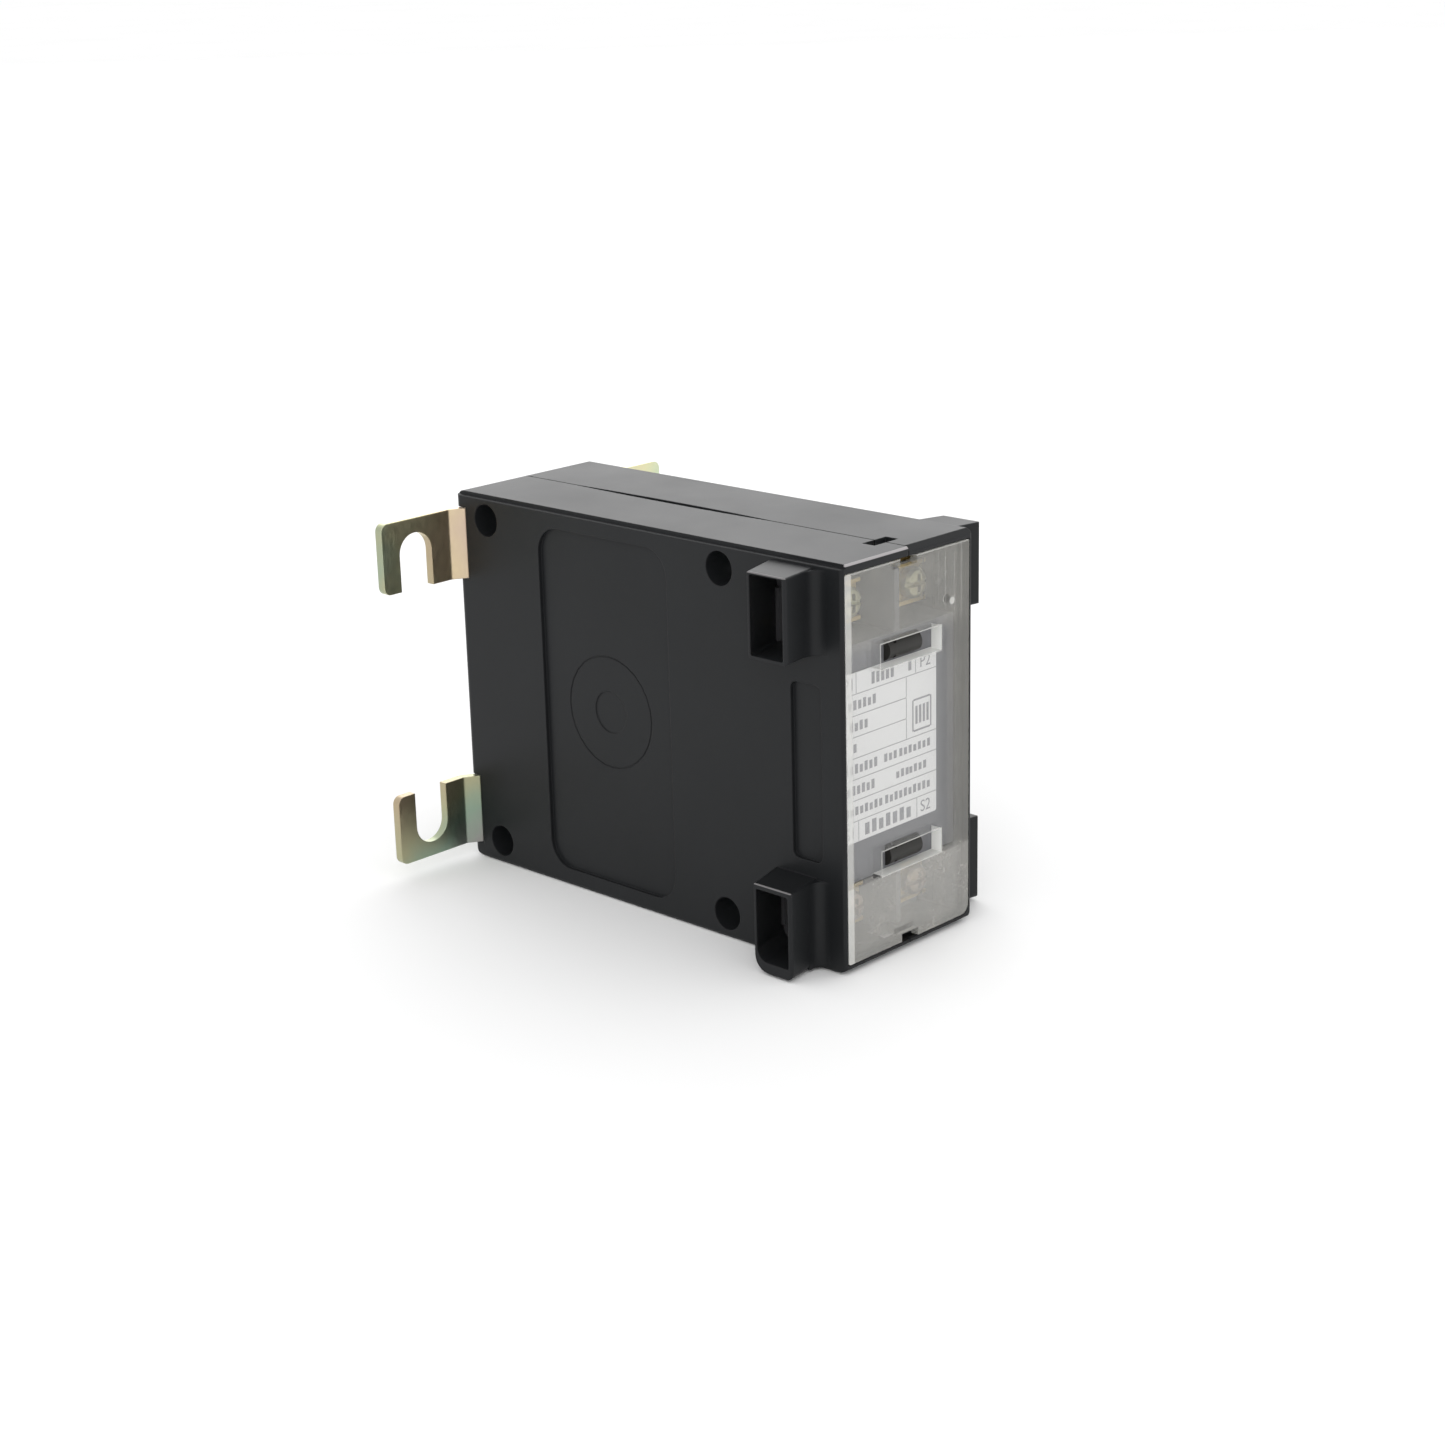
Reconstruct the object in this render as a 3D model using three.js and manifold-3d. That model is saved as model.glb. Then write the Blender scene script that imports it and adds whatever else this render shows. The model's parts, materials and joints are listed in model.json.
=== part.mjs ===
// Low-voltage wound-primary current transformer in a two-part moulded case, with a clear terminal cover,
// four slotted fixing feet, four screw terminals and the laminated core, bobbin and windings inside.
// Millimetres. +Z is up, -Y is the terminal side, X runs across the case. Lengths in y are measured back
// from the terminal face while the pieces are made; the whole model is then moved so that its origin lies
// at the bottom centre of its overall box.
import * as THREE from 'three';
import { mergeVertices } from 'three/addons/utils/BufferGeometryUtils.js';
import Module from 'manifold-3d';

const wasm = await Module();
wasm.setup();

// ---- driving dimensions ------------------------------------------------------------------------

const BODY_WIDTH = 41;
const BODY_DEPTH = 114;
const BODY_HEIGHT = 86.2;
const HALF_WIDTH = BODY_WIDTH / 2;
const MID_HEIGHT = BODY_HEIGHT / 2;

const WALL = 2;
const LEDGE_DROP = 0.7; // the left edge of the top face steps down by this much
const LEDGE_WIDTH = 1.2;
const LEDGE_FALL = 0.3; // and slants down to the side face
const TOE_RISE = 1.3; // the bottom sweeps up by this much at the front edge
const TOE_LENGTH = 6;
const PARTING_GAP = 0.3; // between the two halves of the case
const GAP = 0.1; // between pieces that rest on each other

const CAVITY_X = HALF_WIDTH - WALL;
const CAVITY_LOW = 2.3;
const CAVITY_HIGH = BODY_HEIGHT - CAVITY_LOW;

const COVER_THICKNESS = 1.8;
const COVER_HALF_WIDTH = 19.5;
const COVER_LOW = 2.1;
const COVER_REBATE = 0.2; // clearance around and behind the cover
const COVER_HIGH = BODY_HEIGHT - COVER_LOW;
const WINDOW_X = 0.8; // centre of the two sealing windows and of the posts behind them
const WINDOW_WIDTH = 19.2;
const WINDOW_HEIGHT = 5.2;
const WINDOW_OFFSET = 22; // from mid height
const HOOK_SLOT_FRONT = 5.8;
const HOOK_SLOT_BACK = 9;
const HOOK_SLOT_HALF = 3.7;
const HOOK_LOW = 38.5; // underside of a hook, from mid height

const DUCT_REACH = 10; // how far a cable duct stands out of the side face
const DUCT_FRONT = 5.7; // the duct's outer end runs from DUCT_FRONT to DUCT_BACK
const DUCT_BACK = 15.9;
const DUCT_FRONT_SLANT = 1.7; // and its root lies this much further back
const DUCT_BACK_SLANT = 3;
const UPPER_DUCT = { low: 67.1, high: 84.8, openLow: 67.7, openHigh: 84.3 };
const LOWER_DUCT = { low: 0.6, high: 19.6, openLow: 2.9, openHigh: 18.5 };

const PANEL_DEPTH = 0.9; // sunk panels of the side faces
const PANEL_CENTRE = [67.3, 43.2];
const RING_RADIUS = 12.5;
const RING_WIDTH = 0.35;

const SCREW_FRONT_Y = 33;
const SCREW_BACK_Y = 103.9;
const SCREW_Z_OFFSET = 37.6; // case screws, from mid height
const COUNTERBORE_R = 3.65;
const COUNTERBORE_FLOOR = 10.3; // distance of its floor from the parting plane
const BOSS_R = 5;
const SLIM_BOSS_R = 3.7;
const SLIM_BOSS_X = 8.5;

const FOOT_THICKNESS = 2;
const FOOT_FRONT_Y = 112.8;
const FOOT_TIP_X = 43;
const FOOT_BEND_X = 23.6;
const FOOT_LEG_X = CAVITY_X - 0.2;
const FOOT_LEG_FRONT = 96;
const FOOT_HEIGHT = 16;
const FOOT_OFFSET = 31.4; // centre of a foot, from mid height
const SLOT_WIDTH = 9;
const SLOT_X = 33.6;
const SLOT_WEB = 3.3; // metal left beyond the round end of the slot

const TERMINAL_X = 10.3;
const TERMINAL_Z_OFFSET = 32.5;
const BOARD_FRONT = 18;
const BOARD_BACK = 20;
const BLOCK_FRONT = 3.15;
const BLOCK_HALF_HEIGHT = 25.2;

const CORE_STACK = 14; // thickness of the lamination stack
const CORE_UNIT = 12.5; // an outer leg's width; the centre leg is twice as wide
const CORE_FRONT = 37;
const WINDOW_LENGTH = 3 * CORE_UNIT;
const CORE_DEPTH = 5 * CORE_UNIT;
const CORE_HALF_HEIGHT = 3 * CORE_UNIT;
const YOKE_BACK = CORE_FRONT + CORE_UNIT;
const LEG_END = YOKE_BACK + WINDOW_LENGTH;

const OVERALL_DEPTH = FOOT_FRONT_Y + FOOT_THICKNESS;

// ---- materials ---------------------------------------------------------------------------------

const finish = (color, roughness, metalness = 0) =>
  new THREE.MeshStandardMaterial({ color, roughness, metalness });
const BLACK_PLASTIC = finish('#25272a', 0.5);
const GREY_PLASTIC = finish('#7d7f82', 0.5);
const CLEAR_PLASTIC = new THREE.MeshStandardMaterial({
  color: '#c9cbc4',
  roughness: 0.25,
  transparent: true,
  opacity: 0.45,
});
const LABEL_FILM = finish('#dadcda', 0.55);
const CHROMATED_ZINC = finish('#a89b6e', 0.4, 0.9);
const BRIGHT_ZINC = finish('#b9bcc0', 0.35, 0.9);
const BRASS = finish('#c2a25a', 0.35, 0.9);
const SILICON_STEEL = finish('#6d7075', 0.45, 0.85);
const NYLON = finish('#d9d3c1', 0.55);
const COPPER = finish('#b4683a', 0.4, 0.85);
const TAPE = finish('#c8a637', 0.6);

// ---- solid helpers -----------------------------------------------------------------------------

function solid(geometry) {
  const bare = geometry.clone();
  bare.deleteAttribute('normal');
  bare.deleteAttribute('uv');
  const merged = mergeVertices(bare, 1e-4);
  const vertProperties = new Float32Array(merged.attributes.position.array);
  const triVerts = new Uint32Array(merged.index.array);
  return new wasm.Manifold(new wasm.Mesh({ numProp: 3, vertProperties, triVerts }));
}

function piece(name, body, material) {
  const data = body.getMesh();
  const geometry = new THREE.BufferGeometry();
  geometry.setAttribute('position', new THREE.BufferAttribute(new Float32Array(data.vertProperties), 3));
  geometry.setIndex(new THREE.BufferAttribute(new Uint32Array(data.triVerts), 1));
  geometry.computeVertexNormals();
  const mesh = new THREE.Mesh(geometry, material);
  mesh.name = name;
  return mesh;
}

const union = (bodies) => bodies.reduce((sum, body) => sum.add(body));

function box(x0, x1, y0, y1, z0, z1) {
  const geometry = new THREE.BoxGeometry(x1 - x0, y1 - y0, z1 - z0);
  geometry.translate((x0 + x1) / 2, (y0 + y1) / 2, (z0 + z1) / 2);
  return solid(geometry);
}

// A box between |x| = near and |x| = far on one side of the case.
function sideBox(side, near, far, y0, y1, z0, z1) {
  return side < 0 ? box(-far, -near, y0, y1, z0, z1) : box(near, far, y0, y1, z0, z1);
}

// Extrusions: along x from an outline in (y, z), along y from (x, z), along z from (x, y).
function extrude(shape, axis, from, to, curveSegments = 3) {
  const depth = to - from;
  const geometry = new THREE.ExtrudeGeometry(shape, { depth, bevelEnabled: false, curveSegments });
  const [ex, ey, ez] = [new THREE.Vector3(1, 0, 0), new THREE.Vector3(0, 1, 0), new THREE.Vector3(0, 0, 1)];
  const turn = new THREE.Matrix4();
  if (axis === 'x') turn.makeBasis(ey, ez, ex).setPosition(from, 0, 0);
  if (axis === 'y') turn.makeBasis(ex, ez, ey.clone().negate()).setPosition(0, to, 0);
  if (axis === 'z') turn.makeBasis(ex, ey, ez).setPosition(0, 0, from);
  geometry.applyMatrix4(turn);
  return geometry;
}

const outline = (points) => new THREE.Shape(points.map(([u, v]) => new THREE.Vector2(u, v)));

// Closed outline whose corners [u, v, cut] are rounded, the rounding starting at a distance cut from each.
function filleted(points) {
  const shape = new THREE.Shape();
  points.forEach(([u, v, cut], index) => {
    const corner = new THREE.Vector2(u, v);
    const towards = ([a, b]) => new THREE.Vector2(a, b).sub(corner).setLength(cut).add(corner);
    const start = towards(points.at(index - 1));
    const end = towards(points[(index + 1) % points.length]);
    if (index === 0) shape.moveTo(start.x, start.y);
    else shape.lineTo(start.x, start.y);
    if (cut > 0) shape.quadraticCurveTo(u, v, end.x, end.y);
  });
  return shape;
}

// Rectangle with its own radius at each corner: [low-low, high-low, high-high, low-high].
function roundedRectangle(u0, u1, v0, v1, radii) {
  const [a, b, c, d] = Array.isArray(radii) ? radii : [radii, radii, radii, radii];
  const shape = new THREE.Shape();
  shape.moveTo(u0 + a, v0);
  shape.lineTo(u1 - b, v0);
  if (b > 0) shape.absarc(u1 - b, v0 + b, b, -Math.PI / 2, 0, false);
  shape.lineTo(u1, v1 - c);
  if (c > 0) shape.absarc(u1 - c, v1 - c, c, 0, Math.PI / 2, false);
  shape.lineTo(u0 + d, v1);
  if (d > 0) shape.absarc(u0 + d, v1 - d, d, Math.PI / 2, Math.PI, false);
  shape.lineTo(u0, v0 + a);
  if (a > 0) shape.absarc(u0 + a, v0 + a, a, Math.PI, 1.5 * Math.PI, false);
  return shape;
}

// Round bar along an axis through a point, from one coordinate to another.
function rod(axis, radius, from, to, centre, sides = 24) {
  const geometry = new THREE.CylinderGeometry(radius, radius, to - from, sides);
  if (axis === 'x') geometry.rotateZ(Math.PI / 2);
  if (axis === 'z') geometry.rotateX(Math.PI / 2);
  const middle = (from + to) / 2;
  const [u, v] = centre;
  if (axis === 'x') geometry.translate(middle, u, v);
  if (axis === 'y') geometry.translate(u, middle, v);
  if (axis === 'z') geometry.translate(u, v, middle);
  return solid(geometry);
}

// Turned piece on an axis along y: profile points are [radius, y].
function turned(profile, x, z, sides = 24) {
  const geometry = new THREE.LatheGeometry(profile.map(([r, y]) => new THREE.Vector2(r, y)), sides);
  geometry.translate(x, 0, z);
  return solid(geometry);
}

// Front outline of the terminal cover, or of the rebate around it when widened by an offset.
function coverOutline(offset) {
  const half = COVER_HALF_WIDTH + offset;
  return roundedRectangle(-half, half, COVER_LOW - offset, COVER_HIGH + offset, [0.6, 2.4 + offset, 0.6, 0.6]);
}

// ---- case halves -------------------------------------------------------------------------------

// Front view of one half: top face, stepped along its outer edge on the left half only, side face and flat
// bottom with its outer corner rounded.
function halfProfile(side, lowerCorner) {
  const inner = PARTING_GAP / 2;
  const shape = new THREE.Shape();
  const centreX = side * (HALF_WIDTH - lowerCorner);
  shape.moveTo(side * inner, 0);
  shape.lineTo(centreX, 0);
  shape.absarc(centreX, lowerCorner, lowerCorner, -Math.PI / 2, side < 0 ? -Math.PI : 0, side < 0);
  if (side < 0) {
    shape.lineTo(-HALF_WIDTH, BODY_HEIGHT - LEDGE_DROP - LEDGE_FALL);
    shape.lineTo(-HALF_WIDTH + 0.3, BODY_HEIGHT - LEDGE_DROP - LEDGE_FALL / 2);
    shape.lineTo(-HALF_WIDTH + LEDGE_WIDTH, BODY_HEIGHT - LEDGE_DROP);
    shape.lineTo(-HALF_WIDTH + LEDGE_WIDTH, BODY_HEIGHT);
  } else {
    shape.lineTo(HALF_WIDTH, BODY_HEIGHT - 0.6);
    shape.lineTo(HALF_WIDTH - 0.6, BODY_HEIGHT);
  }
  shape.lineTo(side * inner, BODY_HEIGHT);
  return shape;
}

// Moves the points of a duct's prism so that its walls lean back towards the root.
function slantDuct(geometry, front, back) {
  const position = geometry.attributes.position;
  for (let i = 0; i < position.count; i += 1) {
    const inward = (HALF_WIDTH + DUCT_REACH - Math.abs(position.getX(i))) / DUCT_REACH;
    const across = (position.getY(i) - front) / (back - front);
    const shift = THREE.MathUtils.lerp(DUCT_FRONT_SLANT, DUCT_BACK_SLANT, across) * inward;
    position.setY(i, position.getY(i) + shift);
  }
  return geometry;
}

function ductOutside(side, duct) {
  const radii = duct === LOWER_DUCT ? [1.4, 3.5, 0.4, 0.4] : [0.6, 0.6, 0.4, 0.4];
  const shape = roundedRectangle(DUCT_FRONT, DUCT_BACK, duct.low, duct.high, radii);
  const from = side < 0 ? -HALF_WIDTH - DUCT_REACH : HALF_WIDTH - WALL / 2;
  const to = side < 0 ? -HALF_WIDTH + WALL / 2 : HALF_WIDTH + DUCT_REACH;
  const shell = solid(slantDuct(extrude(shape, 'x', from, to), DUCT_FRONT, DUCT_BACK));
  const outer = HALF_WIDTH + DUCT_REACH;
  // The outer front edge is rounded, and the front wall runs into the side face in a fillet.
  const plan = new THREE.Shape();
  plan.moveTo(side * (CAVITY_X + 0.5), 3);
  plan.lineTo(side * HALF_WIDTH, 5);
  const edge = 0.7;
  plan.absarc(side * (outer - edge), DUCT_FRONT + edge, edge, -Math.PI / 2, side < 0 ? -Math.PI : 0, side < 0);
  plan.lineTo(side * outer, 25);
  plan.lineTo(side * (CAVITY_X + 0.5), 25);
  const filletWidth = 3.4;
  const filletX = side * (HALF_WIDTH + filletWidth);
  const wallY = DUCT_FRONT + DUCT_FRONT_SLANT * (1 - filletWidth / DUCT_REACH);
  const fillet = new THREE.Shape();
  fillet.moveTo(side * (HALF_WIDTH - 0.5), 4);
  fillet.lineTo(side * HALF_WIDTH, 4);
  fillet.quadraticCurveTo(side * HALF_WIDTH, DUCT_FRONT + DUCT_FRONT_SLANT, filletX, wallY);
  fillet.lineTo(filletX, wallY + 0.5);
  fillet.lineTo(side * (HALF_WIDTH - 0.5), DUCT_FRONT + DUCT_FRONT_SLANT + 0.5);
  const rounded = shell.intersect(solid(extrude(plan, 'z', duct.low - 1, duct.high + 1)));
  return rounded.add(solid(extrude(fillet, 'z', duct.low + 0.1, duct.high - 0.3, 6)));
}

function ductPassage(side, duct) {
  const front = DUCT_FRONT + 1;
  const back = DUCT_BACK - 0.6;
  const low = duct.openLow;
  const lowBackRadius = duct === LOWER_DUCT ? 2.8 : 0.4;
  const shape = roundedRectangle(front, back, low, duct.openHigh, [0.4, lowBackRadius, 0.4, 0.4]);
  const outer = HALF_WIDTH + DUCT_REACH + 1;
  const inner = CAVITY_X - 0.5;
  const from = side < 0 ? -outer : inner;
  const to = side < 0 ? -inner : outer;
  return solid(slantDuct(extrude(shape, 'x', from, to), front, back));
}

// Sunk panels of the side face: a large one over the windings, with a ring and a gate mark in its middle,
// and a small one beside the terminal board.
function sidePanels(side) {
  const floor = HALF_WIDTH - PANEL_DEPTH;
  const inward = (depth) =>
    side < 0 ? [-HALF_WIDTH - 1, -floor + depth] : [floor - depth, HALF_WIDTH + 1];
  const large = solid(extrude(roundedRectangle(48.3, 87.2, 4, 82, 6), 'x', ...inward(0), 5));
  const small = solid(extrude(roundedRectangle(5.9, 13.9, 23, 60.6, 1.5), 'x', ...inward(0)));
  const disc = new THREE.Shape();
  disc.absarc(...PANEL_CENTRE, RING_RADIUS + RING_WIDTH / 2, 0, 2 * Math.PI);
  const hole = new THREE.Path();
  hole.absarc(...PANEL_CENTRE, RING_RADIUS - RING_WIDTH / 2, 0, 2 * Math.PI, true);
  disc.holes.push(hole);
  const ring = solid(extrude(disc, 'x', ...inward(0.15), 14));
  const gateMark = rod('x', 4.7, ...inward(0.2), PANEL_CENTRE, 28);
  return union([large, small, ring, gateMark]);
}

function caseScrewPlaces() {
  return [
    { name: 'upper_front', y: SCREW_FRONT_Y, z: MID_HEIGHT + SCREW_Z_OFFSET },
    { name: 'upper_back', y: SCREW_BACK_Y, z: MID_HEIGHT + SCREW_Z_OFFSET },
    { name: 'lower_front', y: SCREW_FRONT_Y, z: MID_HEIGHT - SCREW_Z_OFFSET },
    { name: 'lower_back', y: SCREW_BACK_Y, z: MID_HEIGHT - SCREW_Z_OFFSET },
  ];
}

function halfCase(side) {
  const lowerCorner = side < 0 ? 1 : 3.7;
  const plan = roundedRectangle(-HALF_WIDTH, HALF_WIDTH, 0, BODY_DEPTH, [0.7, 0.7, 1.8, 1.8]);
  let body = solid(extrude(halfProfile(side, lowerCorner), 'y', 0, BODY_DEPTH));
  body = body.intersect(solid(extrude(plan, 'z', -1, BODY_HEIGHT + 1)));
  body = body.subtract(sideBox(side, 0, CAVITY_X, -1, BODY_DEPTH - WALL, CAVITY_LOW, CAVITY_HIGH));
  const elevation = roundedRectangle(0, BODY_DEPTH, 0, BODY_HEIGHT, [0.8, 4, 1.6, 0.5]);
  body = body.intersect(solid(extrude(elevation, 'x', -HALF_WIDTH - 1, HALF_WIDTH + 1, 4)));
  const toe = new THREE.Shape();
  toe.moveTo(-1, -1);
  toe.lineTo(TOE_LENGTH, -1);
  toe.lineTo(TOE_LENGTH, 0);
  toe.quadraticCurveTo(TOE_RISE * 1.2, 0, 0, TOE_RISE);
  toe.lineTo(-1, TOE_RISE);
  body = body.subtract(solid(extrude(toe, 'x', -HALF_WIDTH - 1, HALF_WIDTH + 1, 6)));
  body = body.subtract(sidePanels(side));
  for (const duct of [UPPER_DUCT, LOWER_DUCT]) body = body.add(ductOutside(side, duct));
  for (const duct of [UPPER_DUCT, LOWER_DUCT]) body = body.subtract(ductPassage(side, duct));

  // Rebate for the terminal cover, slots for its two hooks and the channels that lead to them.
  body = body.subtract(solid(extrude(coverOutline(COVER_REBATE), 'y', -1, COVER_THICKNESS + COVER_REBATE)));
  body = body.subtract(
    sideBox(side, -1, HOOK_SLOT_HALF, HOOK_SLOT_FRONT, HOOK_SLOT_BACK, -1, BODY_HEIGHT + 1),
  );
  body = body.subtract(sideBox(side, -1, HOOK_SLOT_HALF, 1, HOOK_SLOT_BACK, 1.1, BODY_HEIGHT - 1.1));

  // Groove that holds the edge of the terminal board.
  const grooveX = CAVITY_X + 0.9;
  body = body.subtract(sideBox(side, CAVITY_X - 1, grooveX, BOARD_FRONT - 0.15, BOARD_BACK + 0.15, 6, 79));

  // Screw bosses: wide beside the wall, slim where they pass the core.
  const inner = PARTING_GAP / 2;
  for (const { y, z } of caseScrewPlaces()) {
    const span = (near, far) => (side < 0 ? [-far, -near] : [near, far]);
    const wide = rod('x', BOSS_R, ...span(SLIM_BOSS_X, HALF_WIDTH - 1), [y, z], 20);
    const slim = rod('x', SLIM_BOSS_R, ...span(inner, SLIM_BOSS_X + 1), [y, z], 16);
    const inside = box(-HALF_WIDTH + 0.5, HALF_WIDTH - 0.5, 1, BODY_DEPTH - 0.5, 1, BODY_HEIGHT - 1);
    body = body.add(wide.add(slim).intersect(inside));
    if (side < 0) {
      body = body.subtract(rod('x', 2.15, -HALF_WIDTH, 1, [y, z], 16));
      body = body.subtract(rod('x', COUNTERBORE_R, -HALF_WIDTH - 1, -COUNTERBORE_FLOOR, [y, z], 28));
    } else {
      body = body.subtract(rod('x', 2.65, -1, 9.5, [y, z], 16));
    }
  }

  // Ribs that grip the core, shelves above and below it, and a peg that locates each foot.
  const coreFace = CORE_STACK / 2 + 0.2;
  body = body.add(sideBox(side, coreFace, CAVITY_X + 0.5, 41, 43.5, 34, 51));
  body = body.add(sideBox(side, coreFace, CAVITY_X + 0.5, 92, 94.5, 20, 65));
  const shelf = MID_HEIGHT - CORE_HALF_HEIGHT - 0.2;
  body = body.add(sideBox(side, inner, coreFace, 60, 75, 1, shelf));
  body = body.add(sideBox(side, inner, coreFace, 60, 75, BODY_HEIGHT - shelf, BODY_HEIGHT - 1));
  for (const level of [-1, 1]) {
    body = body.subtract(footPocket(side, level));
    const pegX = side < 0 ? [-CAVITY_X - 0.5, -16] : [16, CAVITY_X + 0.5];
    body = body.add(rod('x', 1.7, ...pegX, [101, MID_HEIGHT + level * 28.5], 12));
  }

  // The halves stand a little apart along the middle of the top joint.
  const lens = new THREE.Shape();
  lens.moveTo(0, 34);
  lens.quadraticCurveTo(side * 1.7, 62, 0, 100);
  lens.lineTo(-side, 100);
  lens.lineTo(-side, 34);
  body = body.subtract(solid(extrude(lens, 'z', CAVITY_HIGH + 0.6, BODY_HEIGHT + 1, 8)));

  // Front edge of the top face: a fine bevel on the left half, a broad one on the right half.
  const bevel = side < 0 ? 0.35 : 1.15;
  const wedge = outline([
    [-1, BODY_HEIGHT - bevel - 1],
    [bevel + 1, BODY_HEIGHT + 1],
    [-1, BODY_HEIGHT + 1],
  ]);
  const wedgeX = side < 0 ? [-HALF_WIDTH - 1, 0] : [0, HALF_WIDTH + 1];
  return body.subtract(solid(extrude(wedge, 'x', ...wedgeX)));
}

// ---- fixing feet -------------------------------------------------------------------------------

// Plan of a foot: the tab behind the case, a slanting neck and the leg that lies inside the side wall.
function footPlan(side, clearance) {
  const neckAngle = Math.PI / 6;
  const lean = Math.tan(neckAngle / 2);
  const run = FOOT_BEND_X - FOOT_LEG_X;
  const neckY = FOOT_FRONT_Y - run * Math.tan(neckAngle);
  const back = FOOT_THICKNESS;
  const c = clearance;
  const innerY = neckY + back / Math.cos(neckAngle) - back * Math.tan(neckAngle);
  return filleted([
    [side * (FOOT_TIP_X + c), FOOT_FRONT_Y - c, 0],
    [side * (FOOT_BEND_X + lean * c), FOOT_FRONT_Y - c, 0.3],
    [side * (FOOT_LEG_X + c), neckY - c * 1.7, 1.7],
    [side * (FOOT_LEG_X + c), FOOT_LEG_FRONT - c, 0],
    [side * (FOOT_LEG_X - back - c), FOOT_LEG_FRONT - c, 0],
    [side * (FOOT_LEG_X - back - c), innerY + c, 0.6],
    [side * (FOOT_BEND_X - lean * (back + c)), FOOT_FRONT_Y + back + c, 0.9],
    [side * (FOOT_TIP_X + c), FOOT_FRONT_Y + back + c, 0],
  ]);
}

// The leg is lower than the tab, to pass the screw boss; level is 1 for an upper foot, -1 for a lower one.
function footLegTrim(side, level, clearance) {
  const legEdge = MID_HEIGHT + level * (SCREW_Z_OFFSET - BOSS_R - 0.5 + clearance);
  const farEdge = MID_HEIGHT + level * (FOOT_OFFSET + FOOT_HEIGHT);
  const [z0, z1] = level > 0 ? [legEdge, farEdge] : [farEdge, legEdge];
  return sideBox(side, FOOT_LEG_X - 4, FOOT_LEG_X + 1, FOOT_LEG_FRONT - 2, 109.2, z0, z1);
}

function footPocket(side, level) {
  const clearance = 0.25;
  const middle = MID_HEIGHT + level * FOOT_OFFSET;
  const reach = FOOT_HEIGHT / 2 + clearance;
  const [low, high] = [middle - reach, middle + reach];
  const cut = solid(extrude(footPlan(side, clearance), 'z', low, high));
  const opening = sideBox(side, FOOT_LEG_X - 2.3, HALF_WIDTH + 1, 111.2, BODY_DEPTH + 1, low, high);
  return cut.add(opening).subtract(footLegTrim(side, level, clearance));
}

function foot(side, level) {
  const middle = MID_HEIGHT + level * FOOT_OFFSET;
  const half = FOOT_HEIGHT / 2;
  let body = solid(extrude(footPlan(side, 0), 'z', middle - half, middle + half));
  body = body.subtract(footLegTrim(side, level, 0));
  // Slot open towards mid height, so that the four feet drop over four studs.
  const slotEnd = middle + level * (half - SLOT_WEB - SLOT_WIDTH / 2);
  const mouth = middle - level * (half + 1);
  const y = [FOOT_FRONT_Y - 1, FOOT_FRONT_Y + FOOT_THICKNESS + 1];
  const z = [Math.min(slotEnd, mouth), Math.max(slotEnd, mouth)];
  body = body.subtract(sideBox(side, SLOT_X - SLOT_WIDTH / 2, SLOT_X + SLOT_WIDTH / 2, ...y, ...z));
  body = body.subtract(rod('y', SLOT_WIDTH / 2, ...y, [side * SLOT_X, slotEnd], 40));
  // Rounded outer corners.
  const radius = 1.8;
  const near = FOOT_LEG_X - 5;
  const radii = side < 0 ? [radius, 0, 0, radius] : [0, radius, radius, 0];
  const frame = roundedRectangle(
    side < 0 ? -FOOT_TIP_X : near,
    side < 0 ? -near : FOOT_TIP_X,
    middle - half,
    middle + half,
    radii,
  );
  body = body.intersect(solid(extrude(frame, 'y', FOOT_LEG_FRONT - 1, OVERALL_DEPTH + 1)));
  const hole = side < 0 ? [-CAVITY_X - 2, -10] : [10, CAVITY_X + 2];
  return body.subtract(rod('x', 1.9, ...hole, [101, MID_HEIGHT + level * 28.5], 16));
}

// ---- terminal board, cover and label -----------------------------------------------------------

function terminalPlaces() {
  return [
    { name: 'p1', x: -TERMINAL_X, level: 1 },
    { name: 'p2', x: TERMINAL_X, level: 1 },
    { name: 's1', x: -TERMINAL_X, level: -1 },
    { name: 's2', x: TERMINAL_X, level: -1 },
  ].map((place) => ({ ...place, z: MID_HEIGHT + place.level * TERMINAL_Z_OFFSET }));
}

// Box given by its distances above (or, for level -1, below) mid height.
function levelBox(level, x0, x1, y0, y1, near, far) {
  const [z0, z1] = level > 0 ? [near, far] : [-far, -near];
  return box(x0, x1, y0, y1, MID_HEIGHT + z0, MID_HEIGHT + z1);
}

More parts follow.
